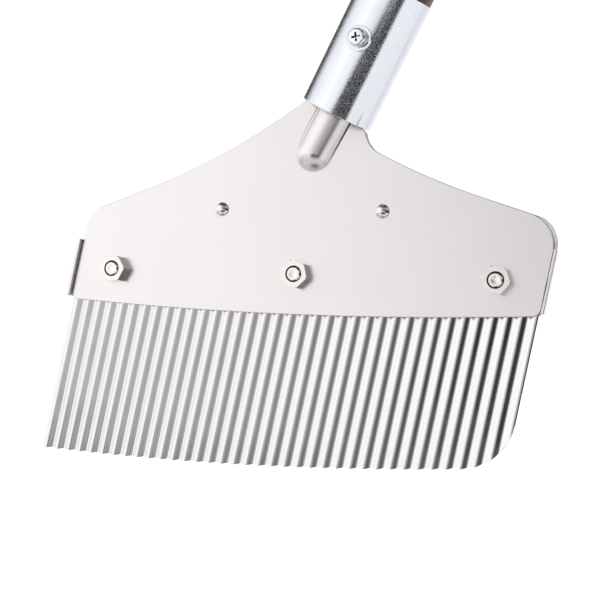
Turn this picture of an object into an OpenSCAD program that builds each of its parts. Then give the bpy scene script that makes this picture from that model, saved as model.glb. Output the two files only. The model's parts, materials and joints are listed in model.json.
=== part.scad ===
// Long-handled algae scraper: a corrugated steel blade clamped between two pressed
// steel plates, on a tubular ferrule and a round wooden handle.
// X runs along the clamp bolts, Z up the plates, and the front faces -Y.
// The origin is on the handle's axis, where the handle leaves the ferrule.

/* [Head plates] */
// Distance from one clamp bolt to the next
bolt_pitch = 80; // [74:1:84]
// Half the front plate's width, on the bolt line
plate_half_w = 98.4; // [96:0.2:102]
// Sheet thickness of both plates
plate_t = 1.2; // [0.8:0.1:1.5]
// Depth of the plates' bottom edge below the bolts, in the middle
plate_drop = 15.8; // [14:0.2:20]
// How much the bottom edge rises from the middle to the ends
plate_bow = 2.9; // [1:0.1:4]
// Lean of the plates' ends and of the blade's flutes from upright
end_slant = 9.5; // [6:0.5:12]
// Radius of the two upper corners
corner_r = 13; // [8:0.5:15]
// Radius of the long hollow shoulders
shoulder_r = 270; // [200:10:280]
// Radius where a shoulder turns up into the neck
root_r = 11.5; // [8:0.5:12]
// How far the back plate stands out past the front plate at its ends
back_margin = 0.9; // [0.5:0.1:1.2]
// Height of the folded end flanges
flange_h = 24.5; // [20:0.5:26]
// How far the flanges stand in front of the front plate
flange_proud = 2; // [0:0.5:3]

/* [Blade] */
// Distance from one flute to the next, square to the flutes
flute_pitch = 5.29; // [5:0.01:5.6]
// Thickness over the flutes
blade_depth = 1.7; // [1.4:0.1:2.4]
// Sheet thickness of the blade
blade_t = 0.5; // [0.4:0.1:0.8]
// Height of the blade's top edge above the bolts
blade_top = 11; // [8:0.5:12]
// Radius of the working edge's long curve
edge_r = 1400; // [1200:50:2000]
// Radius of the blade's right lower corner
blade_corner_r = 22; // [10:1:24]

/* [Neck and handle] */
// Lean of the handle from upright, in the plane of the plates
rake = 27.1; // [20:0.1:30]
// Lean of the handle towards the front
lean = 7; // [0:0.5:8]
// Outside diameter of the ferrule; the handle is 0.5 less
ferrule_od = 29.5; // [28:0.5:32]
// Wall of the ferrule
ferrule_wall = 1.2; // [1:0.1:1.4]
// Length of the ferrule
ferrule_len = 52.9; // [50:0.1:60]
// Distance from the ferrule's mouth to its screw
screw_up = 30.4; // [26:0.1:34]
// Whole length of the wooden handle
handle_len = 900; // [600:50:1200]
// Half the width of the pressed rib, at the plate's face
rib_half_w = 7.7; // [6:0.1:8]
// Distance from the ferrule's mouth to the centre of the rib's round end
rib_len = 18; // [14:0.5:20]

/* [Fasteners] */
// Diameter of the clamp bolts
bolt_d = 6; // [5:1:6]
// Distance across the flats of the clamp nuts
nut_af = 10; // [8:0.5:11]
// Height of a clamp nut
nut_h = 4.8; // [4:0.1:5.5]
// Distance of each rivet from the middle bolt, sideways
rivet_x = 33.8; // [30:0.2:36]
// Height of the rivets above the bolts
rivet_z = 26; // [24:0.5:28]
// Diameter of a rivet's head
rivet_head_d = 5.8; // [5:0.1:6.5]
// Diameter of the ferrule's screw
screw_d = 4; // [4:1:5]

/* [Hidden] */

// Layers through the head, from the front plate's face (0) to the back plate's back.
mid_y = plate_t + blade_depth / 2;
stack_y = 2 * plate_t + blade_depth;
fit = 0.05;
// Play of the clamp bolts in their holes, and radii of a rivet's shank and its spacer.
hole_play = 0.2;
shank_r = 1.6;
spacer_r = 3;
// How far a bolt's end stands out of its nut, and height of its head.
bolt_end = 0.4;
bolt_head_h = 4;

// The handle's axis meets the middle of the head at the ferrule's mouth, which is
// given here from the middle clamp bolt.
mouth = [12.5, mid_y, 65.3];
handle_dir = [sin(rake) * cos(lean), -sin(lean), cos(rake) * cos(lean)];
origin_on_head = mouth + ferrule_len * handle_dir;
ferrule_r = ferrule_od / 2;
handle_r = ferrule_r - 0.25;
socket_r = ferrule_r - ferrule_wall;
neck_half_w = 12;
tongue_len = 26;
// The plates' shoulders stop this far short of the ferrule's leaning rim.
rim_gap = 0.4;
bottom_r = 1600;
rib_r = norm([rib_half_w, mid_y]);

// Lowest point of the working edge's curve, from the middle clamp bolt.
edge_low = [-58, -77.8];
// Where the first flute's crest stands, measured square to the flutes.
crest_x = -94.9;
// How sharp the flutes are, from 0, a plain wave, to 1, a zigzag.
zigzag = 0.9;
// Radius and thickness of the flat washers of the ferrule's screw, and thickness of
// the spring washer.
washer_r = 5;
washer_t = 0.8;
spring_t = 1.0;

steel = [0.83, 0.81, 0.80];
bright = [0.93, 0.92, 0.91];
zinc = [0.80, 0.84, 0.90];
wood = [0.25, 0.12, 0.08];

// Points of a closed outline whose corners [x, z, r] are rounded to radius r.
function turn_to(a, b) = (b - a) / norm(b - a);
function corner_arc(before, here, after, r) =
    let (u = turn_to(here, before), v = turn_to(here, after),
         half = acos(u * v) / 2, mid = turn_to([0, 0], u + v),
         centre = here + mid * r / sin(half), start = here + u * r / tan(half) - centre,
         sweep = (180 - 2 * half) * sign(u.x * v.y - u.y * v.x),
         steps = max(2, ceil((180 - 2 * half) / 360 * (16 + 2 * sqrt(r) * 6))))
    [for (i = [0:steps]) let (a = -sweep * i / steps)
        centre + [start.x * cos(a) - start.y * sin(a), start.x * sin(a) + start.y * cos(a)]];
function rounded(corners) =
    [for (i = [0:len(corners) - 1])
        let (n = len(corners), c = corners[i], here = [c.x, c.y],
             p = corners[(i + n - 1) % n], q = corners[(i + 1) % n])
        each c[2] == 0 ? [here] : corner_arc([p.x, p.y], here, [q.x, q.y], c[2])];

// The line of a slanted end at height z, for an end at x on the bolt line.
function end_x(x, z) = x + z * tan(end_slant);
// A point beside the handle's axis: across it and up it, in the plates' plane.
function by_neck(across, up) = [mouth.x, mouth.z]
    + across * [cos(rake), -sin(rake)] + up * [sin(rake), cos(rake)];

// Places children by the middle clamp bolt's frame, and by the handle's frame.
module on_head() translate(-origin_on_head) children();
module on_handle() on_head() translate(mouth) rotate([lean, rake, 0]) children();
// Extrudes an outline drawn in X and Z, from depth y backwards by t.
module sheet(y, t) translate([0, y + t, 0]) rotate([90, 0, 0]) linear_extrude(t) children();
// A round bar or hole from depth y backwards, at x and z on the head.
module bar(x, z, y, length, r) translate([x, y, z]) rotate([-90, 0, 0])
    cylinder(h = length, r = r, $fn = 48);

// Outline of a plate whose ends are at half_w, with a stepped tongue for the ferrule.
module plate_outline(half_w, upper_r) {
    side_z = plate_bow - plate_drop;
    difference() {
        polygon(rounded([
            [end_x(-half_w, side_z), side_z, 2.5],
            [end_x(-half_w, 24.4), 24.4, upper_r],
            [-38.7, 44.9, shoulder_r],
            [-0.2, 70.3, root_r],
            [by_neck(-neck_half_w, 25).x, by_neck(-neck_half_w, 25).y, 0],
            [by_neck(neck_half_w, 25).x, by_neck(neck_half_w, 25).y, 0],
            [21.4, 54.1, root_r],
            [52.5, 38.55, shoulder_r],
            [end_x(half_w, 22.5), 22.5, upper_r],
            [end_x(half_w, side_z), side_z, 3.5],
            [-1.9, -plate_drop - plate_bow * 0.95, bottom_r]]));
        translate(by_neck(0, -rim_gap)) rotate(-rake) translate([-2 * neck_half_w, 0])
            square([4 * neck_half_w, 40]);
    }
    translate(by_neck(0, 0)) rotate(-rake) translate([-neck_half_w, -1])
        square([2 * neck_half_w, 1 + tongue_len]);
}

// The pressed rib as a solid bar with a ball end, in the middle of the two plates.
module rib(r, top) on_head() translate(mouth) rotate([0, rake, 0]) translate([0, 0, -rib_len])
    rotate_extrude($fn = 64) {
        intersection() {
            circle(r = r, $fn = 64);
            translate([0, -r]) square(r);
        }
        square([r, rib_len + top]);
    }

module bolt_holes() for (i = [-1:1])
    bar(i * bolt_pitch, 0, -1, stack_y + 2, bolt_d / 2 + hole_play);

// One plate: a flat sheet with its half of the rib. Layer y is its front face.
module pressed_plate(y, half_w, upper_r, front) {
    reach = 40;
    difference() {
        union() {
            on_head() sheet(y, plate_t) plate_outline(half_w, upper_r);
            intersection() {
                rib(rib_r, tongue_len);
                on_head() translate([-60, front ? plate_t - reach : y, 0]) cube([140, reach, 140]);
            }
        }
        rib(rib_r - plate_t, tongue_len + 1);
        on_head() {
            bolt_holes();
            for (s = [-1, 1]) bar(s * rivet_x, rivet_z, -1, stack_y + 2, shank_r + fit);
        }
    }
}

module front_plate() color(steel) pressed_plate(0, plate_half_w, corner_r, true);

// An end folded forward, a little clear of the front plate's end.
module end_flange(s) {
    inner = plate_half_w + 0.4;
    foot = -12;
    in_bend = 0.3;
    on_head() translate([s * inner, 0, 0]) rotate([0, end_slant, 0])
        translate([s < 0 ? -plate_t : 0, -flange_proud, foot])
        cube([plate_t, stack_y + flange_proud - in_bend, flange_h]);
}
module back_plate() color(steel) {
    pressed_plate(stack_y - plate_t, plate_half_w + back_margin, corner_r - 2, false);
    for (s = [-1, 1]) end_flange(s);
}

// Depth of the fluted sheet's middle at x, in from the front: a rounded zigzag.
function flute_y(x) = -(blade_depth - blade_t) / 2
    * asin(zigzag * cos(360 * (x - crest_x) / flute_pitch)) / asin(zigzag);
// The blade: a sheet of flutes, cut to its outline and drilled for the clamp bolts.
module fluted_sheet() {
    half_w = plate_half_w * cos(end_slant);
    step = flute_pitch / 12;
    last = floor((2 * half_w + 4 * flute_pitch) / step);
    wave = [for (i = [0:last]) let (x = i * step - half_w - 2 * flute_pitch,
                tilt = atan((flute_y(x + fit) - flute_y(x - fit)) / (2 * fit)))
            [x, flute_y(x), tilt]];
    skin = function (side) [for (p = wave)
        [p.x - side * blade_t / 2 * sin(p[2]), p.y + side * blade_t / 2 * cos(p[2])]];
    back = skin(1);
    front = skin(-1);
    below = 110;
    above = 40;
    rotate([0, end_slant, 0]) translate([0, mid_y, -below]) linear_extrude(below + above)
        polygon(concat(front, [for (i = [last:-1:0]) back[i]]));
}
module blade_outline() {
    right = 97.9;
    left = -98.2;
    up = [sin(end_slant), cos(end_slant)];
    // The corner's centre lies blade_corner_r inside both the right end and the long curve.
    curve = [edge_low.x, edge_low.y + edge_r];
    beside = [right, 0] + blade_corner_r * [-up.y, up.x] - curve;
    drop = beside * up + sqrt(pow(beside * up, 2) - beside * beside
                              + pow(edge_r - blade_corner_r, 2));
    centre = curve + beside - drop * up;
    to_end = blade_corner_r * [up.y, -up.x];
    to_edge = blade_corner_r * turn_to(curve, centre);
    difference() {
        intersection() {
            polygon([[end_x(left, -90), -90], [end_x(left, blade_top), blade_top],
                     [end_x(right, blade_top), blade_top], [end_x(right, -90), -90]]);
            translate(curve) circle(r = edge_r, $fn = 1440);
        }
        difference() {
            polygon([centre, centre + to_end, centre + to_end + to_edge, centre + to_edge]);
            translate(centre) circle(r = blade_corner_r, $fn = 96);
        }
    }
}
module scraper_blade() color(bright) difference() {
    intersection() {
        on_head() fluted_sheet();
        on_head() sheet(plate_t - 1, blade_depth + 2) blade_outline();
    }
    on_head() bolt_holes();
}

// A hexagon bar along Y whose corners are turned off to a cone at both ends.
module hexagon(af, h, turned) {
    face_r = af * 0.545;
    skirt_r = af * 0.6;
    fall = (skirt_r - face_r) * tan(30);
    intersection() {
        rotate([-90, 0, 0]) rotate(turned) cylinder(h = h, d = af / cos(30), $fn = 6);
        rotate([-90, 0, 0]) rotate_extrude($fn = 48)
            polygon([[0, 0], [face_r, 0], [skirt_r, fall], [skirt_r, h - fall], [face_r, h], [0, h]]);
    }
}
module clamp_bolt(i) color(bright) on_head() translate([i * bolt_pitch, stack_y, 0]) {
    shank = bolt_d / 2 - fit;
    tip = stack_y + nut_h + bolt_end;
    chamfer = 0.65;
    hexagon(nut_af, bolt_head_h, 15);
    rotate([90, 0, 0]) rotate_extrude($fn = 48)
        polygon([[0, -1], [shank, -1], [shank, tip - chamfer], [shank - chamfer, tip], [0, tip]]);
}
module clamp_nut(i, turned) color(bright) on_head() translate([i * bolt_pitch, -nut_h, 0]) {
    mouth_r = bolt_d / 2 + 0.5;
    mouth_h = 0.55;
    difference() {
        hexagon(nut_af, nut_h, turned);
        rotate([-90, 0, 0]) translate([0, 0, -1]) cylinder(h = nut_h + 2, r = bolt_d / 2, $fn = 48);
        rotate([-90, 0, 0]) translate([0, 0, -0.01])
            cylinder(h = mouth_h, r1 = mouth_r, r2 = bolt_d / 2, $fn = 48);
    }
}

// A rivet: two low domes on a shank, with a spacer tube that holds the plates apart.
module rivet(s) color(bright) on_head() translate([s * rivet_x, 0, rivet_z]) rotate([-90, 0, 0])
    rotate_extrude($fn = 48) rivet_section();
module rivet_section() {
    head_r = rivet_head_d / 2;
    dome_r = head_r * 1.06;
    sunk = head_r * 0.35;
    translate([0, -0.6]) square([shank_r, stack_y + 1.2]);
    for (y = [0, stack_y]) intersection() {
        translate([0, y == 0 ? sunk : y - sunk]) circle(r = dome_r, $fn = 48);
        translate([0, y == 0 ? -dome_r : y]) square(dome_r);
    }
}
module rivet_spacer(s) color(zinc) on_head() difference() {
    bar(s * rivet_x, rivet_z, plate_t, blade_depth, spacer_r);
    bar(s * rivet_x, rivet_z, plate_t - 1, blade_depth + 2, shank_r + fit);
}

// The ferrule: a welded tube, drilled through for its screw.
module ferrule() color(zinc) on_handle() difference() {
    cylinder(h = ferrule_len, r = ferrule_r, $fn = 96);
    translate([0, 0, -1]) cylinder(h = ferrule_len + 2, r = socket_r, $fn = 96);
    cross_hole(screw_d / 2 + 0.2);
}
module cross_hole(r) translate([0, -25, screw_up]) rotate([-90, 0, 0])
    cylinder(h = 50, r = r, $fn = 48);

// The handle: its lower end is turned down for the ferrule, and bored and slotted for
// the plates' tongue with its rib. Its top is rounded.
module handle() color(wood) {
    slack = 0.3;
    below = 5;
    difference() {
        on_handle() handle_blank(3);
        rib(rib_r + slack, tongue_len + 1);
        on_head() translate(mouth) rotate([0, rake, 0])
            translate([-handle_r - below, -mid_y - slack, -below])
            cube([2 * (handle_r + below), stack_y + 2 * slack, tongue_len + 1 + below]);
    }
}
module handle_blank(tenon_start) difference() {
    union() {
        translate([0, 0, tenon_start]) cylinder(h = ferrule_len - 2, r = socket_r - fit, $fn = 96);
        rotate_extrude($fn = 96) handle_section(tenon_start + handle_len);
    }
    cross_hole(screw_d / 2 + 0.1);
}
module handle_section(top) {
    end_round = 9;
    translate([0, ferrule_len]) square([handle_r, top - end_round - ferrule_len]);
    translate([0, ferrule_len]) square([handle_r - end_round, top - ferrule_len]);
    intersection() {
        translate([handle_r - end_round, top - end_round]) circle(r = end_round, $fn = 48);
        translate([0, top - 2 * end_round]) square([handle_r, 2 * end_round]);
    }
}

// The ferrule's cross screw, seen along -Y of the handle's frame.
module on_screw() on_handle() translate([0, -ferrule_r, screw_up]) rotate([90, 0, 0]) children();
module ring(z, t, inner, outer) translate([0, 0, z]) difference() {
    cylinder(h = t, r = outer, $fn = 48);
    translate([0, 0, -1]) cylinder(h = t + 2, r = inner, $fn = 48);
}
module ferrule_screw() color(zinc) on_screw() {
    seat = washer_t + spring_t;
    shank_len = 36;
    recess = [3.8, 0.9];
    recess_floor = 1.1;
    difference() {
        union() {
            translate([0, 0, seat]) pan_head(3.5, 2.6);
            translate([0, 0, seat + 1 - shank_len]) cylinder(h = shank_len, r = screw_d / 2, $fn = 48);
        }
        translate([0, 0, seat + recess_floor]) for (a = [0, 90]) rotate(a + 35)
            translate(-recess / 2) linear_extrude(4) square(recess);
    }
}
module pan_head(r, h) intersection() {
    cylinder(h = h, r = r, $fn = 48);
    translate([0, 0, h - r * 1.25]) sphere(r = r * 1.25, $fn = 48);
}
module ferrule_flat_washer() color(zinc) on_screw() ring(0, washer_t, screw_d / 2 + fit, washer_r);
module ferrule_spring_washer() color(zinc) on_screw() difference() {
    split = 0.6;
    ring(washer_t, spring_t, screw_d / 2 + fit, 3.8);
    rotate(200) translate([0, -split / 2, washer_t - 0.5]) cube([6, split, spring_t + 1]);
}
module ferrule_rear_washer() color(zinc) on_screw()
    ring(-2 * ferrule_r - washer_t, washer_t, screw_d / 2 + fit, washer_r);
module ferrule_nut() color(zinc) on_handle()
    translate([0, ferrule_r + washer_t, screw_up]) difference() {
        height = 3.2;
        hexagon(7, height, 10);
        rotate([-90, 0, 0]) translate([0, 0, -1])
            cylinder(h = height + 2, r = screw_d / 2 + fit, $fn = 48);
    }

front_plate();
back_plate();
scraper_blade();
clamp_bolt(-1);  // clamp_bolt_left
clamp_bolt(0);  // clamp_bolt_centre
clamp_bolt(1);  // clamp_bolt_right
clamp_nut(-1, -2);  // clamp_nut_left
clamp_nut(0, 16);  // clamp_nut_centre
clamp_nut(1, 10);  // clamp_nut_right
rivet(-1);  // rivet_left
rivet(1);  // rivet_right
rivet_spacer(-1);  // rivet_spacer_left
rivet_spacer(1);  // rivet_spacer_right
ferrule();
handle();
ferrule_screw();
ferrule_flat_washer();
ferrule_spring_washer();
ferrule_rear_washer();
ferrule_nut();
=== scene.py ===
import json
import math

import bmesh
import bpy
from mathutils import Matrix, Vector


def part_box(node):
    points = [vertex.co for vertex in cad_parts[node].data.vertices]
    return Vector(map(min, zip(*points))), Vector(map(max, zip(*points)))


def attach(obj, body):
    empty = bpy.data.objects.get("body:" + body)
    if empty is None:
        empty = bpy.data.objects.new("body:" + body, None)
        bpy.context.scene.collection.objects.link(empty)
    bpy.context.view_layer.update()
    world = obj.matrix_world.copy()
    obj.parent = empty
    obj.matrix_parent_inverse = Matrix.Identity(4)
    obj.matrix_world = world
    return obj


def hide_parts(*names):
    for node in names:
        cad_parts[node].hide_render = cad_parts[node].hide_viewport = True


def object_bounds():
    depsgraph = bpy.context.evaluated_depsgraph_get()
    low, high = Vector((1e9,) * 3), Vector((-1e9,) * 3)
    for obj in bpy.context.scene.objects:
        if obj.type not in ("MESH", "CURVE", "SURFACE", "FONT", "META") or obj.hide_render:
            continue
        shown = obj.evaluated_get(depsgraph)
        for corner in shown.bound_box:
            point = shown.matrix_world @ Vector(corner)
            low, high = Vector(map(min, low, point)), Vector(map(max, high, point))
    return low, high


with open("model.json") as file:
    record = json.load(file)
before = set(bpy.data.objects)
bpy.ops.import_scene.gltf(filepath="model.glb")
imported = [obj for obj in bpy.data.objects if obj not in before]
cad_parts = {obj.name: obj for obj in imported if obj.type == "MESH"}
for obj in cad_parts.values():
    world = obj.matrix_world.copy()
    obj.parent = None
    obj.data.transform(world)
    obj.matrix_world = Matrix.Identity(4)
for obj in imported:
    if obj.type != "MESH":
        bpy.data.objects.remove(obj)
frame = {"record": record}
cad_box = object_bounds()

# ==== Camera and head frame ====================================================
# The head is drawn from its middle clamp bolt in millimetres: x to the right, y up
# the plates, z out of the front. The camera stands low and to the right of it.

MM = 0.001
sheet_t = 1.2
blade_depth = 1.7
stack = 2 * sheet_t + blade_depth

bolt_low, bolt_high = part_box("clamp_bolt_centre")
spacer_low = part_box("rivet_spacer_left")[0]
head_origin = Vector(((bolt_low.x + bolt_high.x) / 2,
                      spacer_low.y - sheet_t * MM,
                      (bolt_low.z + bolt_high.z) / 2))
on_head = (Matrix.Translation(head_origin) @ Matrix.Rotation(math.radians(90), 4, "X")
           @ Matrix.Scale(MM, 4))

eye = on_head @ Vector((145.56, -31.79, 443.5))
eye_azimuth = 17.955
eye_elevation = -2.668
eye_roll = 3.038
camera_data = bpy.data.cameras.new("camera")
camera_data.lens = 70.07
camera_data.sensor_width = 36
camera_data.clip_start = 0.01
camera = bpy.data.objects.new("camera", camera_data)
camera.matrix_world = (Matrix.Translation(eye)
                       @ Matrix.Rotation(math.radians(eye_azimuth), 4, "Z")
                       @ Matrix.Rotation(math.radians(90 - eye_elevation), 4, "X")
                       @ Matrix.Rotation(math.radians(eye_roll), 4, "Z"))
bpy.context.collection.objects.link(camera)
bpy.context.scene.camera = camera

# ==== Plates ===================================================================
# Two blanks of 1.2 mm stainless sheet, sheared to a coat-hanger outline, with half a
# rib tube pressed into each neck. Between them they clamp the blade and the rivets'
# spacers. The back one has its ends folded forward as short flanges.

rake = math.radians(27.1)
end_slant = math.radians(9.5)
mouth = Vector((12.5, 65.3))
neck_half_w = 12
tongue_len = 26
rib_len = 18
rib_half_w = 7.7
rib_r = math.hypot(rib_half_w, stack / 2)
bolt_pitch = 80
bolt_hole_r = 3.2
rivet_x = 33.8
rivet_y = 26
rivet_hole_r = 1.65


def rounded(corners):
    """Turns corners (x, y, radius) into outline points, closer together on wide arcs."""
    points = []
    for i, (x, y, radius) in enumerate(corners):
        here = Vector((x, y))
        if radius == 0:
            points.append(here)
            continue
        before = (Vector(corners[i - 1][:2]) - here).normalized()
        after = (Vector(corners[(i + 1) % len(corners)][:2]) - here).normalized()
        half = before.angle(after) / 2
        centre = here + (before + after).normalized() * radius / math.sin(half)
        start = here + before * radius / math.tan(half) - centre
        turn = math.pi - 2 * half
        sign = -1 if before.cross(after) > 0 else 1
        degrees_each = 160 / (radius + 20)
        arcs = max(2, math.ceil(math.degrees(turn) / degrees_each))
        for k in range(arcs + 1):
            spin = Matrix.Rotation(sign * turn * k / arcs, 2)
            points.append(centre + spin @ start)
    return points


def by_neck(across, up):
    """A point beside the handle's axis, in the plane of the plates."""
    return mouth + Vector((math.cos(rake), -math.sin(rake))) * across \
        + Vector((math.sin(rake), math.cos(rake))) * up


def end_x(x, y):
    """Where the slanted end line that crosses the bolts at x stands at height y."""
    return x + y * math.tan(end_slant)


def piece_of(name, mesh):
    """Makes a mesh object of a bmesh that is drawn in millimetres."""
    data = bpy.data.meshes.new(name)
    mesh.to_mesh(data)
    mesh.free()
    piece = bpy.data.objects.new(name, data)
    bpy.context.collection.objects.link(piece)
    return piece


def blank(name, outline, low, high, rim):
    """A flat blank between two depths, with its rims broken by a small round."""
    mesh = bmesh.new()
    face = mesh.faces.new([mesh.verts.new((p[0], p[1], low)) for p in outline])
    grown = bmesh.ops.extrude_face_region(mesh, geom=[face])["geom"]
    verts = [g for g in grown if isinstance(g, bmesh.types.BMVert)]
    bmesh.ops.translate(mesh, verts=verts, vec=(0, 0, high - low))
    bmesh.ops.recalc_face_normals(mesh, faces=mesh.faces)
    if rim:
        rims = [e for e in mesh.edges if abs(e.verts[0].co.z - e.verts[1].co.z) < 0.001]
        bmesh.ops.bevel(mesh, geom=rims, offset=rim, segments=3, profile=0.5, affect="EDGES")
    return piece_of(name, mesh)


def turned(name, profile, sides=64):
    """A turned piece about Z, from the points (radius, height) of its section."""
    mesh = bmesh.new()
    rings = []
    for radius, height in profile:
        if radius == 0:
            rings.append([mesh.verts.new((0, 0, height))])
            continue
        rings.append([mesh.verts.new((radius * math.cos(a), radius * math.sin(a), height))
                      for a in (2 * math.pi * i / sides for i in range(sides))])
    closed = profile[0][0] != 0 and profile[-1][0] != 0
    for one, two in zip(rings, rings[1:] + ([rings[0]] if closed else [])):
        for i in range(sides):
            j = (i + 1) % sides
            if len(one) == 1 and len(two) == 1:
                break
            if len(one) == 1:
                mesh.faces.new((one[0], two[i], two[j]))
            elif len(two) == 1:
                mesh.faces.new((one[j], one[i], two[0]))
            else:
                mesh.faces.new((one[j], one[i], two[i], two[j]))
    bmesh.ops.recalc_face_normals(mesh, faces=mesh.faces)
    return piece_of(name, mesh)


def carve(piece, tool, how="DIFFERENCE"):
    """Cuts a tool out of a piece, or joins or intersects them, and uses the tool up."""
    work = piece.modifiers.new("carve", "BOOLEAN")
    work.operation = how
    work.solver = "EXACT"
    work.object = tool
    seen = piece.evaluated_get(bpy.context.evaluated_depsgraph_get())
    result = bpy.data.meshes.new_from_object(seen)
    mesh = bmesh.new()
    mesh.from_mesh(result)
    bmesh.ops.remove_doubles(mesh, verts=mesh.verts, dist=0.001)
    bmesh.ops.dissolve_degenerate(mesh, edges=mesh.edges, dist=0.001)
    assert mesh.faces, piece.name + " was lost in a cut"
    mesh.to_mesh(result)
    mesh.free()
    piece.modifiers.clear()
    piece.data = result
    bpy.data.objects.remove(tool)


def shift(piece, place):
    """Moves the points of a piece, so that its object stays at the origin."""
    piece.data.transform(place)
    return piece


def finish_piece(piece, place, material, replaced, crease=30):
    """Places a finished piece on the tool, shades it and hides the CAD part it takes the place of."""
    shift(piece, place)
    piece.data.materials.clear()
    piece.data.materials.append(material)
    piece.data.shade_smooth()
    piece.data.set_sharp_from_angle(angle=math.radians(crease))
    flats = piece.modifiers.new("flat_faces_lead", "WEIGHTED_NORMAL")
    flats.keep_sharp = True
    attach(piece, "root")
    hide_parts(replaced)


def srgb(code):
    """A colour's sRGB hex code as linear red, green, blue and alpha."""
    channels = [int(code[i:i + 2], 16) / 255 for i in (1, 3, 5)]
    return [c / 12.92 if c <= 0.04045 else ((c + 0.055) / 1.055) ** 2.4
            for c in channels] + [1]


def add(tree, kind, feeds, **settings):
    """Adds a shader node, with its settings and with values or links on its inputs."""
    node = tree.nodes.new("ShaderNode" + kind)
    for key, value in settings.items():
        setattr(node, key, value)
    for socket, value in feeds.items():
        if isinstance(value, bpy.types.NodeSocket):
            tree.links.new(value, node.inputs[socket])
        else:
            node.inputs[socket].default_value = value
    return node


def new_material(name):
    """An empty node material and its tree."""
    material = bpy.data.materials.new(name)
    material.use_nodes = True
    material.node_tree.nodes.clear()
    return material, material.node_tree


# Rolled 304 stainless with a 2B mill finish: a soft grey-white shine, slightly warm,
# cloudy over a few centimetres, with rolling lines along the sheet.
mill_stainless, tree = new_material("mill_finish_stainless_sheet")
place = add(tree, "TexCoord", {}).outputs["Object"]
cloud = add(tree, "TexNoise", {"Vector": place, "Scale": 1 / (28 * MM), "Detail": 3})
stretched = add(tree, "Mapping", {"Vector": place, "Scale": (0.03, 1, 1)})
rolling = add(tree, "TexNoise", {"Vector": stretched.outputs[0], "Scale": 1 / (0.7 * MM),
                                 "Detail": 3})
tint = add(tree, "Mix", {"Factor": cloud.outputs["Fac"], "A": srgb("#f1ecec"),
                         "B": srgb("#f7f3f3")}, data_type="RGBA")
haze = add(tree, "MapRange", {"Value": cloud.outputs["Fac"], "From Min": 0.3, "From Max": 0.7,
                              "To Min": 0.26, "To Max": 0.31})
lines = add(tree, "Bump", {"Height": rolling.outputs["Fac"], "Strength": 0.06,
                           "Distance": 0.02 * MM})
metal = add(tree, "BsdfPrincipled", {"Base Color": tint.outputs["Result"], "Metallic": 1.0,
                                     "Roughness": haze.outputs["Result"],
                                     "Normal": lines.outputs["Normal"]})
add(tree, "OutputMaterial", {"Surface": metal.outputs[0]})


# Painted shade: a dark, mottled steel colour put on the walls of threads, recesses and the rib's
# creases, where shade falls.
crevice_painted_shade, tree = new_material("crevice_painted_shade")
place = add(tree, "TexCoord", {}).outputs["Object"]
shade_mottle = add(tree, "TexNoise", {"Vector": place, "Scale": 1 / (0.5 * MM), "Detail": 2})
tint = add(tree, "Mix", {"Factor": shade_mottle.outputs["Fac"], "A": srgb("#1d1a19"),
                         "B": srgb("#4a4442")}, data_type="RGBA")
metal = add(tree, "BsdfPrincipled", {"Base Color": tint.outputs["Result"], "Metallic": 1.0,
                                     "Roughness": 0.45})
add(tree, "OutputMaterial", {"Surface": metal.outputs[0]})


def paint_shade_on_walls(piece, place, outer, low, high):
    """Paints shade on the steep walls of a finished piece inside a radius and between two heights,
    with the dark crevice material.
    """
    piece.data.materials.append(crevice_painted_shade)
    back = place.inverted()
    turned_back = back.to_3x3().normalized()
    for face in piece.data.polygons:
        centre = back @ face.center
        is_wall = abs((turned_back @ face.normal).z) < 0.9
        if is_wall and math.hypot(centre.x, centre.y) < outer and low < centre.z < high:
            face.material_index = 1


def plate_outline(half_w, upper_r):
    """The sheared outline, with its shoulders cut off just below the ferrule's rim."""
    drop, bow = 15.8, 2.9
    side = bow - drop
    left_top, right_top = 24.4, 22.5
    bottom_r, shoulder_r, root_r = 1600, 270, 11.5
    rim = -0.4
    ledge_w = 1.0
    outline = rounded([
        (end_x(-half_w, side), side, 2.5),
        (-1.9, -drop - 0.95 * bow, bottom_r),
        (end_x(half_w, side), side, 3.5),
        (end_x(half_w, right_top), right_top, upper_r),
        (52.5, 38.55, shoulder_r),
        (21.4, 54.1, root_r),
        (*by_neck(neck_half_w, tongue_len), 0),
        (*by_neck(-neck_half_w, tongue_len), 0),
        (-0.2, 70.3, root_r),
        (-38.7, 44.9, shoulder_r),
        (end_x(-half_w, left_top), left_top, upper_r)])
    kept = []
    for p in outline:
        up = (p - mouth).dot(Vector((math.sin(rake), math.cos(rake))))
        across = (p - mouth).dot(Vector((math.cos(rake), -math.sin(rake))))
        by_tongue = abs(across) < 2 * neck_half_w
        if by_tongue and rim < up < tongue_len - 1:
            continue
        if by_tongue and up > rim:
            side_step = math.copysign(neck_half_w, across)
            ledge = by_neck(math.copysign(neck_half_w + ledge_w, across), rim)
            step = by_neck(side_step, rim)
            kept += [ledge, step, p] if across > 0 else [p, step, ledge]
        else:
            kept.append(p)
    return kept


def rib_bar(radius, top):
    """The inside or outside of the pressed rib: a bar with a ball end."""
    ball = [(radius * math.sin(a), -radius * math.cos(a))
            for a in (math.radians(90) * i / 16 for i in range(17))]
    bar = turned("rib_bar", ball + [(radius, rib_len + top), (0, rib_len + top)])
    along = Matrix.Rotation(-rake, 4, "Z") @ Matrix.Rotation(math.radians(-90), 4, "X")
    start = by_neck(0, -rib_len)
    return shift(bar, Matrix.Translation((start.x, start.y, -stack / 2)) @ along)


def block(low, high):
    """A plain cutting block between two corners."""
    corners = [(low[0], low[1]), (high[0], low[1]), (high[0], high[1]), (low[0], high[1])]
    return blank("block", corners, low[2], high[2], 0)


def drill(piece, x, y, radius):
    """Drills a round hole right through a piece of the head."""
    bit = turned("drill", [(0, -9), (radius, -9), (radius, 4), (0, 4)], 48)
    carve(piece, shift(bit, Matrix.Translation((x, y, 0))))


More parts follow.
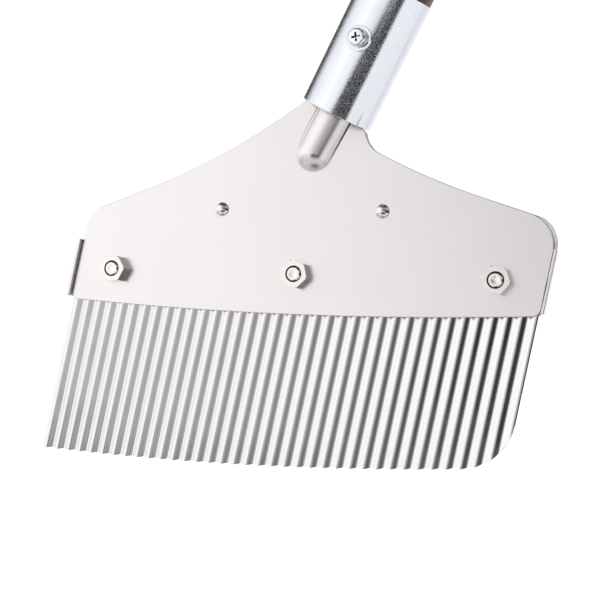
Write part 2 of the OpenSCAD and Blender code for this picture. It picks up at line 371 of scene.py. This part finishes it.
def pressed_plate(name, high, outline, front):
    """A blank with its half of the rib pressed out of it, drilled for bolts and rivets."""
    low = high - sheet_t
    rim_break = 0.3
    plate = blank(name, outline, low, high, rim_break)
    bar = rib_bar(rib_r, tongue_len)
    left, right, foot, top = -60, 90, 0, 140
    reach = 60
    overlap = 0.02
    if front:
        carve(bar, block((left, foot, low - reach), (right, top, low + overlap)))
    else:
        carve(bar, block((left, foot, high - overlap), (right, top, high + reach)))
    carve(plate, bar, "UNION")
    carve(plate, rib_bar(rib_r - sheet_t, tongue_len + 2))
    for side in (-1, 0, 1):
        drill(plate, side * bolt_pitch, 0, bolt_hole_r)
    for side in (-1, 1):
        drill(plate, side * rivet_x, rivet_y, rivet_hole_r)
    return plate


front_plate = pressed_plate("front_plate_sheet", 0, plate_outline(98.4, 13), True)
# The press bites in a little beside the rib, less and less towards its round end.
crease_at, crease_top = 7.75, 6
crease_wide, crease_fine, crease_depth = 0.35, 0.02, 0.55
for side in (-1, 1):
    corners = [by_neck(side * (crease_at + off), up)
               for off, up in ((crease_wide, crease_top), (-crease_wide, crease_top),
                               (-crease_fine, -rib_len), (crease_fine, -rib_len))]
    carve(front_plate, blank("crease", corners, -crease_depth, 0.6, 0))
finish_piece(front_plate, on_head, mill_stainless, "front_plate")
# Painted shade: the faces in the creases beside the rib get the dark crevice material.
front_plate.data.materials.append(crevice_painted_shade)
crease_band, rib_foot_y = 0.55, 40
for face in front_plate.data.polygons:
    centre = on_head.inverted() @ face.center
    beside = abs((centre.xy - mouth).dot(Vector((math.cos(rake), -math.sin(rake)))))
    by_crease = abs(beside - crease_at) < crease_band
    if by_crease and -0.6 < centre.z < -0.02 and centre.y > rib_foot_y:
        face.material_index = 1


def end_flange(side):
    """A folded end: it turns forward round a small bend from the back plate's end."""
    bend = 1.9
    lap = 6
    inner = 98.8
    outer = sheet_t
    floor_z, tip = -stack, 2.0
    soft = 0.2
    foot, top = -12, 12.5
    path = [(outer - lap, floor_z), (outer - bend, floor_z)]
    path += [(outer - bend + bend * math.sin(a), floor_z + bend - bend * math.cos(a))
             for a in (math.radians(15) * i for i in range(1, 7))]
    path += [(outer, tip - soft), (outer - soft, tip), (soft, tip), (0, tip - soft)]
    small = bend - sheet_t
    path += [(outer - bend + small * math.cos(a), floor_z + bend - small * math.sin(a))
             for a in (math.radians(18) * i for i in range(6))]
    path += [(outer - lap, floor_z + sheet_t)]
    flange = blank("flange", path, foot, top, 0)
    upright = Matrix.Rotation(math.radians(-90), 4, "X") @ Matrix.Scale(-1, 4, (0, 1, 0))
    slanted = Matrix.Rotation(-end_slant, 4, "Z")
    mirrored = Matrix.Scale(side, 4, (1, 0, 0))
    shift(flange, Matrix.Translation((side * inner, 0, 0)) @ slanted @ mirrored @ upright)
    mesh = bmesh.new()
    mesh.from_mesh(flange.data)
    bmesh.ops.recalc_face_normals(mesh, faces=mesh.faces)
    mesh.to_mesh(flange.data)
    mesh.free()
    return flange


back_plate = pressed_plate("back_plate_sheet", -stack + sheet_t, plate_outline(99.3, 11), False)
for side in (-1, 1):
    carve(back_plate, end_flange(side), "UNION")
finish_piece(back_plate, on_head, mill_stainless, "back_plate")

# ==== Blade ====================================================================
# Half a millimetre of bright rolled stainless, corrugated with a flute every 5.3 mm
# and sheared to a long shallow curve with one round corner. It is drawn with v along
# the flutes and u square to them.

flute_pitch = 5.29
blade_t = 0.5
crest_u = -94.9
swing = (blade_depth - blade_t) / 2
edge_low = (-58, -77.8)
edge_r = 1400
corner_r = 22
blade_top = 11
blade_left = -98.2 * math.cos(end_slant)
blade_right = 97.9 * math.cos(end_slant)
flutes_turn = Matrix.Rotation(-end_slant, 4, "Z")
curve_centre = flutes_turn.inverted() @ Vector((edge_low[0], edge_low[1] + edge_r, 0))
corner_u = blade_right - corner_r
corner_v = curve_centre.y - math.sqrt((edge_r - corner_r) ** 2 - (corner_u - curve_centre.x) ** 2)
corner_from = corner_u + corner_r * (corner_u - curve_centre.x) / (edge_r - corner_r)


def flute(u):
    """Depth of the corrugation: crests a little rounder than a plain zigzag's."""
    sharpness = 0.9
    wave = math.cos(2 * math.pi * (u - crest_u) / flute_pitch)
    return swing * math.asin(sharpness * wave) / math.asin(sharpness)


def edge_v(u):
    """Height of the working edge at u. The crests stand a little lower, as sheared."""
    tooth_h = 0.25
    tooth = tooth_h * flute(u) / swing
    if u > corner_from:
        return corner_v - math.sqrt(max(0, corner_r ** 2 - (u - corner_u) ** 2)) - tooth
    left_round = 2.0
    lift = max(0, blade_left + left_round - u)
    nick = left_round - math.sqrt(left_round ** 2 - lift ** 2)
    return curve_centre.y - math.sqrt(edge_r ** 2 - (u - curve_centre.x) ** 2) + nick - tooth


def corrugated_blade():
    """The fluted sheet: columns of points along the flutes, closer near the working edge."""
    mesh = bmesh.new()
    rows, crowding = 14, 1.6
    columns_each = 16
    count = round((blade_right - blade_left) / flute_pitch * columns_each)
    columns = []
    for i in range(count + 1):
        u = blade_left + (blade_right - blade_left) * i / count
        top = (blade_top + u * math.sin(end_slant)) / math.cos(end_slant)
        low = edge_v(u)
        columns.append([mesh.verts.new((u, low + (top - low) * (j / rows) ** crowding, flute(u)))
                        for j in range(rows + 1)])
    for one, two in zip(columns, columns[1:]):
        for j in range(rows):
            mesh.faces.new((one[j], two[j], two[j + 1], one[j + 1]))
    return piece_of("corrugated_blade_sheet", mesh)


blade = corrugated_blade()
walls = blade.modifiers.new("thickness", "SOLIDIFY")
walls.thickness = blade_t
walls.offset = 0
walls.use_even_offset = True
seen = blade.evaluated_get(bpy.context.evaluated_depsgraph_get())
solid = bpy.data.meshes.new_from_object(seen)
blade.modifiers.clear()
blade.data = solid
shift(blade, Matrix.Translation((0, 0, -stack / 2)) @ flutes_turn)
for side in (-1, 0, 1):
    drill(blade, side * bolt_pitch, 0, bolt_hole_r)

# Bright annealed stainless: nearly a mirror, with faint drawing lines along the flutes.
bright_stainless, tree = new_material("bright_rolled_stainless")
place = add(tree, "TexCoord", {}).outputs["Object"]
drawn = add(tree, "Mapping", {"Vector": place, "Rotation": (0, end_slant, 0),
                              "Scale": (1, 1, 0.05)})
draw_lines = add(tree, "TexNoise", {"Vector": drawn.outputs[0], "Scale": 1 / (0.5 * MM),
                                    "Detail": 3})
cloud = add(tree, "TexNoise", {"Vector": place, "Scale": 1 / (12 * MM), "Detail": 2})
haze = add(tree, "MapRange", {"Value": cloud.outputs["Fac"], "From Min": 0.3, "From Max": 0.7,
                              "To Min": 0.1, "To Max": 0.16})
lines = add(tree, "Bump", {"Height": draw_lines.outputs["Fac"], "Strength": 0.05,
                           "Distance": 0.02 * MM})
metal = add(tree, "BsdfPrincipled", {"Base Color": srgb("#eeecee"), "Metallic": 1.0,
                                     "Roughness": haze.outputs["Result"],
                                     "Normal": lines.outputs["Normal"]})
add(tree, "OutputMaterial", {"Surface": metal.outputs[0]})
finish_piece(blade, on_head, bright_stainless, "scraper_blade", crease=40)

# ==== Clamp bolts and nuts =====================================================
# Three M6 hexagon bolts from behind with their nuts in front, cold formed in A2
# stainless. A nut's corners are turned off to a cone and its thread mouth is
# countersunk; the bolt's chamfered end comes just through it.

bolt_r = 2.95
bolt_out = 0.4
bolt_head_h = 4.0
nut_h = 4.8
nut_flats = 10
nut_bore_r = 2.97

# Cold formed stainless: bright and smooth, with the slight orange peel of the blow.
formed_stainless, tree = new_material("cold_formed_stainless")
place = add(tree, "TexCoord", {}).outputs["Object"]
peel = add(tree, "TexNoise", {"Vector": place, "Scale": 1 / (1.1 * MM), "Detail": 3})
haze = add(tree, "MapRange", {"Value": peel.outputs["Fac"], "From Min": 0.3, "From Max": 0.7,
                              "To Min": 0.1, "To Max": 0.17})
dents = add(tree, "Bump", {"Height": peel.outputs["Fac"], "Strength": 0.25,
                           "Distance": 0.08 * MM})
metal = add(tree, "BsdfPrincipled", {"Base Color": srgb("#f0edea"), "Metallic": 1.0,
                                     "Roughness": haze.outputs["Result"],
                                     "Normal": dents.outputs["Normal"]})
add(tree, "OutputMaterial", {"Surface": metal.outputs[0]})


def hexagon(name, flats, height, turned_by):
    """A hexagon bar with both its rims turned to a cone."""
    across = flats / math.cos(math.radians(30)) / 2
    corners = [(across * math.cos(a), across * math.sin(a))
               for a in (math.radians(60 * i + turned_by) for i in range(6))]
    bar = blank(name, corners, 0, height, 0)
    face_r, skirt = flats * 0.545, flats * 0.6
    fall = (skirt - face_r) * math.tan(math.radians(30))
    cone = turned("cone", [(0, 0), (face_r, 0), (skirt, fall), (skirt, height - fall),
                           (face_r, height), (0, height)], 96)
    carve(bar, cone, "INTERSECT")
    return bar


def soften(piece, width):
    """Breaks the sharp edges of a machined piece."""
    bevel = piece.modifiers.new("broken_edges", "BEVEL")
    bevel.width = width * MM
    bevel.segments = 2
    bevel.limit_method = "ANGLE"
    bevel.angle_limit = math.radians(35)


for name, x, nut_turn in (("left", -bolt_pitch, 2), ("centre", 0, -16), ("right", bolt_pitch, -10)):
    spot = on_head @ Matrix.Translation((x, 0, 0))
    sink, mouth_r, past = 0.36, 3.3, 0.02
    nut = hexagon("hex_nut_" + name, nut_flats, nut_h, nut_turn)
    bore = turned("tap", [(0, -1), (nut_bore_r, -1), (nut_bore_r, nut_h - sink),
                          (nut_bore_r + sink + past, nut_h + past), (0, nut_h + past)], 64)
    carve(nut, bore)
    finish_piece(nut, spot, formed_stainless, "clamp_nut_" + name, crease=25)
    # Painted shade on the walls of the nut's thread bore.
    paint_shade_on_walls(nut, spot, mouth_r, 0, nut_h)
    soften(nut, 0.18)

    end = nut_h + bolt_out
    shank = turned("hex_bolt_" + name, [
        (0, -stack - 1), (bolt_r, -stack - 1), (bolt_r, end - 0.6), (bolt_r - 0.42, end - 0.1),
        (bolt_r - 0.52, end - 0.02), (bolt_r - 0.65, end), (1.5, end - 0.02), (1.0, end - 0.14),
        (0, end - 0.2)], 64)
    head = hexagon("bolt_head", nut_flats, bolt_head_h, 15)
    shift(head, Matrix.Translation((0, 0, -stack - bolt_head_h)))
    carve(shank, head, "UNION")
    finish_piece(shank, spot, formed_stainless, "clamp_bolt_" + name, crease=25)
    # Painted shade on the bolt's shank where it runs through the nut.
    paint_shade_on_walls(shank, spot, bolt_r + 0.1, 0, end - 0.5)

# ==== Rivets ===================================================================
# Two stainless rivets with round domes on both sides. Each goes through a short
# stainless tube that keeps the plates a blade's thickness apart.

dome_r, head_r, shank_r = 3.07, 2.9, 1.6
swell = dome_r - math.sqrt(dome_r ** 2 - head_r ** 2)
front_dome = [(head_r * math.cos(a), swell * math.sin(a))
              for a in (math.radians(90) * i / 12 for i in range(12))] + [(0, swell)]
back_dome = [(r, -stack - h) for r, h in reversed(front_dome)]
rivet_section = back_dome + [(shank_r, -stack), (shank_r, 0)] + front_dome
tube_r, soft = 3, 0.2
tube_low, tube_high = -sheet_t - blade_depth, -sheet_t
tube_section = [(rivet_hole_r, tube_low), (rivet_hole_r, tube_high), (tube_r - soft, tube_high),
                (tube_r, tube_high - soft), (tube_r, tube_low + soft), (tube_r - soft, tube_low)]
for name, side in (("left", -1), ("right", 1)):
    spot = on_head @ Matrix.Translation((side * rivet_x, rivet_y, 0))
    rivet = turned("dome_rivet_" + name, rivet_section, 48)
    finish_piece(rivet, spot, formed_stainless, "rivet_" + name)
    tube = turned("spacer_tube_" + name, tube_section, 48)
    finish_piece(tube, spot, formed_stainless, "rivet_spacer_" + name)

# ==== Ferrule ==================================================================
# A welded steel tube, bright zinc plated, that joins the plates' tongue to the
# handle. Its ends are cut square and its weld is a shallow groove along its right.

ferrule_len = 52.9
ferrule_r = 14.75
wall = 1.2
along = Vector(frame["record"]["mounts"][0]["axis"]).normalized()
across = Vector((along.z, 0, -along.x)).normalized()
behind = along.cross(across)
on_handle = Matrix((across, behind, along)).transposed().to_4x4() @ Matrix.Scale(MM, 4)
screw_z = 30.4 - ferrule_len

# Bright zinc: bluish white and glossy. Between its bright crystals are matt ones that
# scatter light, seen as fine light specks where the plating mirrors something dark.
zinc_plate, tree = new_material("bright_zinc_plate")
place = add(tree, "TexCoord", {}).outputs["Object"]
spangle = add(tree, "TexNoise", {"Vector": place, "Scale": 1 / (0.5 * MM), "Detail": 2,
                                 "Roughness": 0.7})
cloud = add(tree, "TexNoise", {"Vector": place, "Scale": 1 / (9 * MM), "Detail": 2})
haze = add(tree, "MapRange", {"Value": cloud.outputs["Fac"], "From Min": 0.3, "From Max": 0.7,
                              "To Min": 0.08, "To Max": 0.12})
matt = add(tree, "MapRange", {"Value": spangle.outputs["Fac"], "From Min": 0.44, "From Max": 0.62,
                              "To Min": 1.0, "To Max": 0.78})
tint = add(tree, "Mix", {"Factor": cloud.outputs["Fac"], "A": srgb("#e6eaf3"),
                         "B": srgb("#f0f3f8")}, data_type="RGBA")
grain = add(tree, "Bump", {"Height": spangle.outputs["Fac"], "Strength": 0.3,
                           "Distance": 0.06 * MM})
metal = add(tree, "BsdfPrincipled", {"Base Color": tint.outputs["Result"],
                                     "Metallic": matt.outputs["Result"],
                                     "Roughness": haze.outputs["Result"],
                                     "Normal": grain.outputs["Normal"]})
add(tree, "OutputMaterial", {"Surface": metal.outputs[0]})

lip = 0.25
ferrule = turned("ferrule_tube", [
    (ferrule_r - wall, -ferrule_len + lip), (ferrule_r - wall + lip, -ferrule_len),
    (ferrule_r - lip, -ferrule_len), (ferrule_r - 0.07, -ferrule_len + 0.08),
    (ferrule_r, -ferrule_len + lip), (ferrule_r, -lip), (ferrule_r - 0.07, -0.08),
    (ferrule_r - lip, 0), (ferrule_r - wall + lip, 0), (ferrule_r - wall, -lip)], 240)
seam_angle = math.radians(-24)
seam_half_w, seam_depth = 0.25, 0.12
for vert in ferrule.data.vertices:
    radius = math.hypot(vert.co.x, vert.co.y)
    off = abs(math.atan2(vert.co.y, vert.co.x) - seam_angle) * radius
    if radius > ferrule_r - 0.3 and off < seam_half_w:
        vert.co.x *= 1 - seam_depth / ferrule_r
        vert.co.y *= 1 - seam_depth / ferrule_r
screw_hole_r = 2.2
cross_bit = turned("drill", [(0, -20), (screw_hole_r, -20), (screw_hole_r, 20), (0, 20)], 48)
shift(cross_bit, Matrix.Translation((0, 0, screw_z)) @ Matrix.Rotation(math.radians(90), 4, "X"))
carve(ferrule, cross_bit)
finish_piece(ferrule, on_handle, zinc_plate, "ferrule", crease=35)

# ==== Ferrule screw ============================================================
# An M4 pan head cross screw right through ferrule and handle, with a spring washer
# and a flat washer under its head, and a flat washer and a nut behind.

washer_t = 0.8
washer_r = 5
washer_bore_r = 2.05
spring_t = 1.0
seat = ferrule_r + washer_t + spring_t
screw_len = 35
facing = on_handle @ Matrix.Translation((0, 0, screw_z)) @ Matrix.Rotation(math.radians(90), 4, "X")

head_r, head_h, screw_r = 3.5, 2.6, 2.0
crown = [(head_r - 0.15, 0), (head_r, 0.2)]
crown += [(head_r - 1.0 + 1.0 * math.cos(a), head_h - 1.3 + 1.3 * math.sin(a))
          for a in (math.radians(90) * i / 8 for i in range(9))]
crown += [(1.2, head_h + 0.03), (0, head_h + 0.05)]
screw = turned("pan_head_screw", [(0, seat - screw_len), (screw_r - 0.4, seat - screw_len),
                                  (screw_r, seat - screw_len + 0.5),
                                  (screw_r, seat)] + [(r, seat + h) for r, h in crown], 64)
recess_len, recess_w, recess_foot = 2.25, 0.48, 0.8
for quarter in (0, 90):
    slot = blank("recess", [(-recess_len, -recess_w), (recess_len, -recess_w),
                            (recess_len, recess_w), (-recess_len, recess_w)],
                 seat + recess_foot, seat + 4, 0)
    for vert in slot.data.vertices:
        if vert.co.z < seat + 1:
            vert.co.x *= 0.5
            vert.co.y *= 0.75
    carve(screw, shift(slot, Matrix.Rotation(math.radians(quarter + 35), 4, "Z")))
finish_piece(screw, facing, zinc_plate, "ferrule_screw")
# Painted shade on the walls of the screw's cross recess.
paint_shade_on_walls(screw, facing, 2.3, seat + 0.85, seat + head_h)


def washer(name, low, high, replaced):
    """A flat washer with stamped, slightly rounded rims."""
    soft = 0.15
    ring = turned(name, [(washer_bore_r, low), (washer_bore_r, high), (washer_r - soft, high),
                         (washer_r, high - soft), (washer_r, low + soft), (washer_r - soft, low)], 64)
    finish_piece(ring, facing, zinc_plate, replaced)


washer("flat_washer", ferrule_r, ferrule_r + washer_t, "ferrule_flat_washer")
washer("rear_flat_washer", -ferrule_r - washer_t, -ferrule_r, "ferrule_rear_washer")


def spring_washer():
    """A ring of square wire, cut through and sprung so that its ends stand apart."""
    mesh = bmesh.new()
    steps = 60
    gap = math.radians(10)
    start = math.radians(200)
    rise = 0.12
    rings = []
    for i in range(steps + 1):
        a = start + gap / 2 + (2 * math.pi - gap) * i / steps
        lift = rise * (i / steps - 0.5)
        section = [(2.05, 0.05), (2.05, 0.95), (2.15, 1), (3.7, 1), (3.8, 0.9), (3.8, 0.1),
                   (3.7, 0), (2.15, 0)]
        rings.append([mesh.verts.new((r * math.cos(a), r * math.sin(a),
                                      seat - spring_t + h * spring_t + lift))
                      for r, h in section])
    for one, two in zip(rings, rings[1:]):
        for i in range(len(one)):
            j = (i + 1) % len(one)
            mesh.faces.new((one[i], one[j], two[j], two[i]))
    mesh.faces.new(rings[0])
    mesh.faces.new(reversed(rings[-1]))
    bmesh.ops.recalc_face_normals(mesh, faces=mesh.faces)
    return piece_of("split_spring_washer", mesh)


finish_piece(spring_washer(), facing, zinc_plate, "ferrule_spring_washer")

rear_flats, rear_h, rear_bore_r = 7, 3.2, 2.05
rear_nut = hexagon("rear_hex_nut", rear_flats, rear_h, 10)
carve(rear_nut, turned("tap", [(0, -1), (rear_bore_r, -1), (rear_bore_r, 5), (0, 5)], 48))
shift(rear_nut, Matrix.Translation((0, 0, -ferrule_r - washer_t - rear_h)))
finish_piece(rear_nut, facing, zinc_plate, "ferrule_nut", crease=25)

# ==== Handle ===================================================================
# A round hardwood handle, turned down at its lower end to fit the ferrule, stained
# dark brown and varnished to a gloss. Its top is rounded over.

handle_r = 14.5
handle_top = 850.1
tenon_r = 13.5
tenon_foot = 3 - ferrule_len
end_round = 9
section = [(0, tenon_foot), (tenon_r, tenon_foot), (tenon_r, 0), (handle_r - 0.2, 0),
           (handle_r, 0.2)]
section += [(handle_r, handle_top * i / 24) for i in range(1, 24)]
section += [(handle_r - end_round + end_round * math.cos(a),
             handle_top - end_round + end_round * math.sin(a))
            for a in (math.radians(90) * i / 12 for i in range(13))]
section.append((0, handle_top + 0.05))
handle = turned("hardwood_handle", section, 96)

# Stained and varnished hardwood: reddish brown between dark grain lines that run along
# it, under a clear coat.
dark_wood, tree = new_material("stained_varnished_hardwood")
place = add(tree, "TexCoord", {}).outputs["Object"]
turn_back = on_handle.to_3x3().normalized().inverted().to_euler()
straight = add(tree, "Mapping", {"Vector": place, "Rotation": turn_back})
long_grain = add(tree, "Mapping", {"Vector": straight.outputs[0], "Scale": (1, 1, 0.03)})
grain = add(tree, "TexNoise", {"Vector": long_grain.outputs[0], "Scale": 1 / (2.2 * MM),
                               "Detail": 5, "Distortion": 0.4})
pores = add(tree, "TexNoise", {"Vector": long_grain.outputs[0], "Scale": 1 / (0.6 * MM),
                               "Detail": 2})
bands = add(tree, "MapRange", {"Value": grain.outputs["Fac"], "From Min": 0.35, "From Max": 0.65})
pits = add(tree, "MapRange", {"Value": pores.outputs["Fac"], "From Min": 0.56, "From Max": 0.66})
brown = add(tree, "Mix", {"Factor": bands.outputs["Result"], "A": srgb("#2b110b"),
                          "B": srgb("#63332a")}, data_type="RGBA")
pored = add(tree, "Mix", {"Factor": pits.outputs["Result"], "A": brown.outputs["Result"],
                          "B": srgb("#1c0d0a")}, data_type="RGBA")
relief = add(tree, "Bump", {"Height": pores.outputs["Fac"], "Strength": 0.2,
                            "Distance": 0.1 * MM})
varnish = add(tree, "BsdfPrincipled", {"Base Color": pored.outputs["Result"], "Roughness": 0.42,
                                       "Normal": relief.outputs["Normal"],
                                       "Coat Weight": 0.3, "Coat Roughness": 0.12})
add(tree, "OutputMaterial", {"Surface": varnish.outputs[0]})
finish_piece(handle, on_handle, dark_wood, "handle")

# ==== Studio ===================================================================
# A pale floor and a soft light from overhead. Bands of light and dark stand round the
# tool for its steel and zinc to mirror: bright on its left, dark on its right.

floor_mesh = bmesh.new()
floor_size = 8
floor_z = cad_box[0].z - 0.15
floor_mesh.faces.new([floor_mesh.verts.new((x * floor_size, y * floor_size, floor_z))
                      for x, y in ((-1, -1), (1, -1), (1, 1), (-1, 1))])
floor = piece_of("floor", floor_mesh)
white_card, tree = new_material("matt_white_card")
card = add(tree, "BsdfPrincipled", {"Base Color": srgb("#f6f6f6"), "Roughness": 0.9})
add(tree, "OutputMaterial", {"Surface": card.outputs[0]})
floor.data.materials.append(white_card)
floor.visible_glossy = False

room = bpy.data.worlds.new("white_room")
room.use_nodes = True
room.node_tree.nodes.clear()
tree = room.node_tree
direction = add(tree, "TexCoord", {}).outputs["Generated"]
split = add(tree, "SeparateXYZ", {"Vector": direction})
ahead = add(tree, "Math", {0: split.outputs["Y"], 1: -1.0}, operation="MULTIPLY")
angle = add(tree, "Math", {0: split.outputs["X"], 1: ahead.outputs[0]}, operation="ARCTAN2")
around = add(tree, "MapRange", {"Value": angle.outputs[0], "From Min": -math.pi, "From Max": math.pi})
# Brightness round the tool in bands from straight down to straight up: the height of
# the direction where a band starts and is full, then by the angle from straight ahead
# of the tool towards its right.
brightest = 1.3
bands = [
    (-1, -0.9, [(-180, 0.7), (180, 0.7)]),
    (-0.62, -0.5, [(-180, 0.5), (-60, 0.7), (-14, 0.9), (-7, 0.04), (46, 0.04), (53, 1.0),
                   (120, 0.95), (180, 0.7)]),
    (-0.28, -0.24, [(-180, 0.8), (-14, 0.95), (-7, 0.05), (14, 0.05), (24, 0.5), (31, 0.55),
                    (41, 0.27), (48, 0.03), (105, 0.02), (125, 0.8), (180, 0.8)]),
    (-0.2, -0.16, [(-180, 0.95), (-158, 0.9), (-148, 0.08), (-120, 0.08), (-108, 1.0), (-90, 1.08),
                   (-35, 1.12), (-16, 1.08), (-5, 0.95), (4, 0.8), (16, 0.65), (31, 0.55),
                   (41, 0.27), (48, 0.03), (105, 0.02), (125, 0.85), (180, 0.95)]),
    (0.01, 0.06, [(-180, 0.95), (-158, 0.9), (-148, 0.08), (-120, 0.08), (-108, 1.0), (-90, 1.05),
                  (-35, 1.22), (-22, 1.1), (-14, 0.98), (-7, 0.8), (0, 0.6), (6, 0.3), (14, 0.12),
                  (60, 0.05), (105, 0.1), (125, 0.85), (180, 0.95)]),
    (0.2, 0.34, [(-180, 0.4), (-150, 0.06), (-118, 0.08), (-104, 0.5), (-85, 0.95), (-50, 1.12),
                 (-25, 1.12), (0, 0.4), (40, 0.3), (120, 0.8), (180, 0.6)]),
    (0.6, 0.8, [(-180, 0.08), (180, 0.08)]),
]
light = (0, 0, 0, 1)
for start, full, cards in bands:
    ramp = add(tree, "ValToRGB", {"Fac": around.outputs["Result"]})
    stops = ramp.color_ramp.elements
    while len(stops) < len(cards):
        stops.new(0.5)
    for stop, (degrees, value) in zip(stops, cards):
        shade = value / brightest
        stop.position = (degrees + 180) / 360
        stop.color = (shade, shade, shade, 1)
    over = add(tree, "MapRange", {"Value": split.outputs["Z"], "From Min": start, "From Max": full})
    mixed = add(tree, "Mix", {0: over.outputs["Result"], 6: light, 7: ramp.outputs["Color"]},
                data_type="RGBA")
    light = mixed.outputs[2]
lit = add(tree, "Background", {"Color": light, "Strength": brightest})
blank_white = add(tree, "Background", {"Color": (1, 1, 1, 1), "Strength": 1.05})
seen_by = add(tree, "LightPath", {})
either = add(tree, "MixShader", {0: seen_by.outputs["Is Camera Ray"], 1: lit.outputs[0],
                                 2: blank_white.outputs[0]})
add(tree, "OutputWorld", {"Surface": either.outputs[0]})
bpy.context.scene.world = room

overhead = bpy.data.lights.new("overhead_light", "SUN")
overhead.angle = math.radians(60)
overhead.energy = 3.2
lamp = bpy.data.objects.new("overhead_light", overhead)
lamp.visible_glossy = False
bpy.context.collection.objects.link(lamp)
bpy.context.scene.view_settings.view_transform = "Standard"
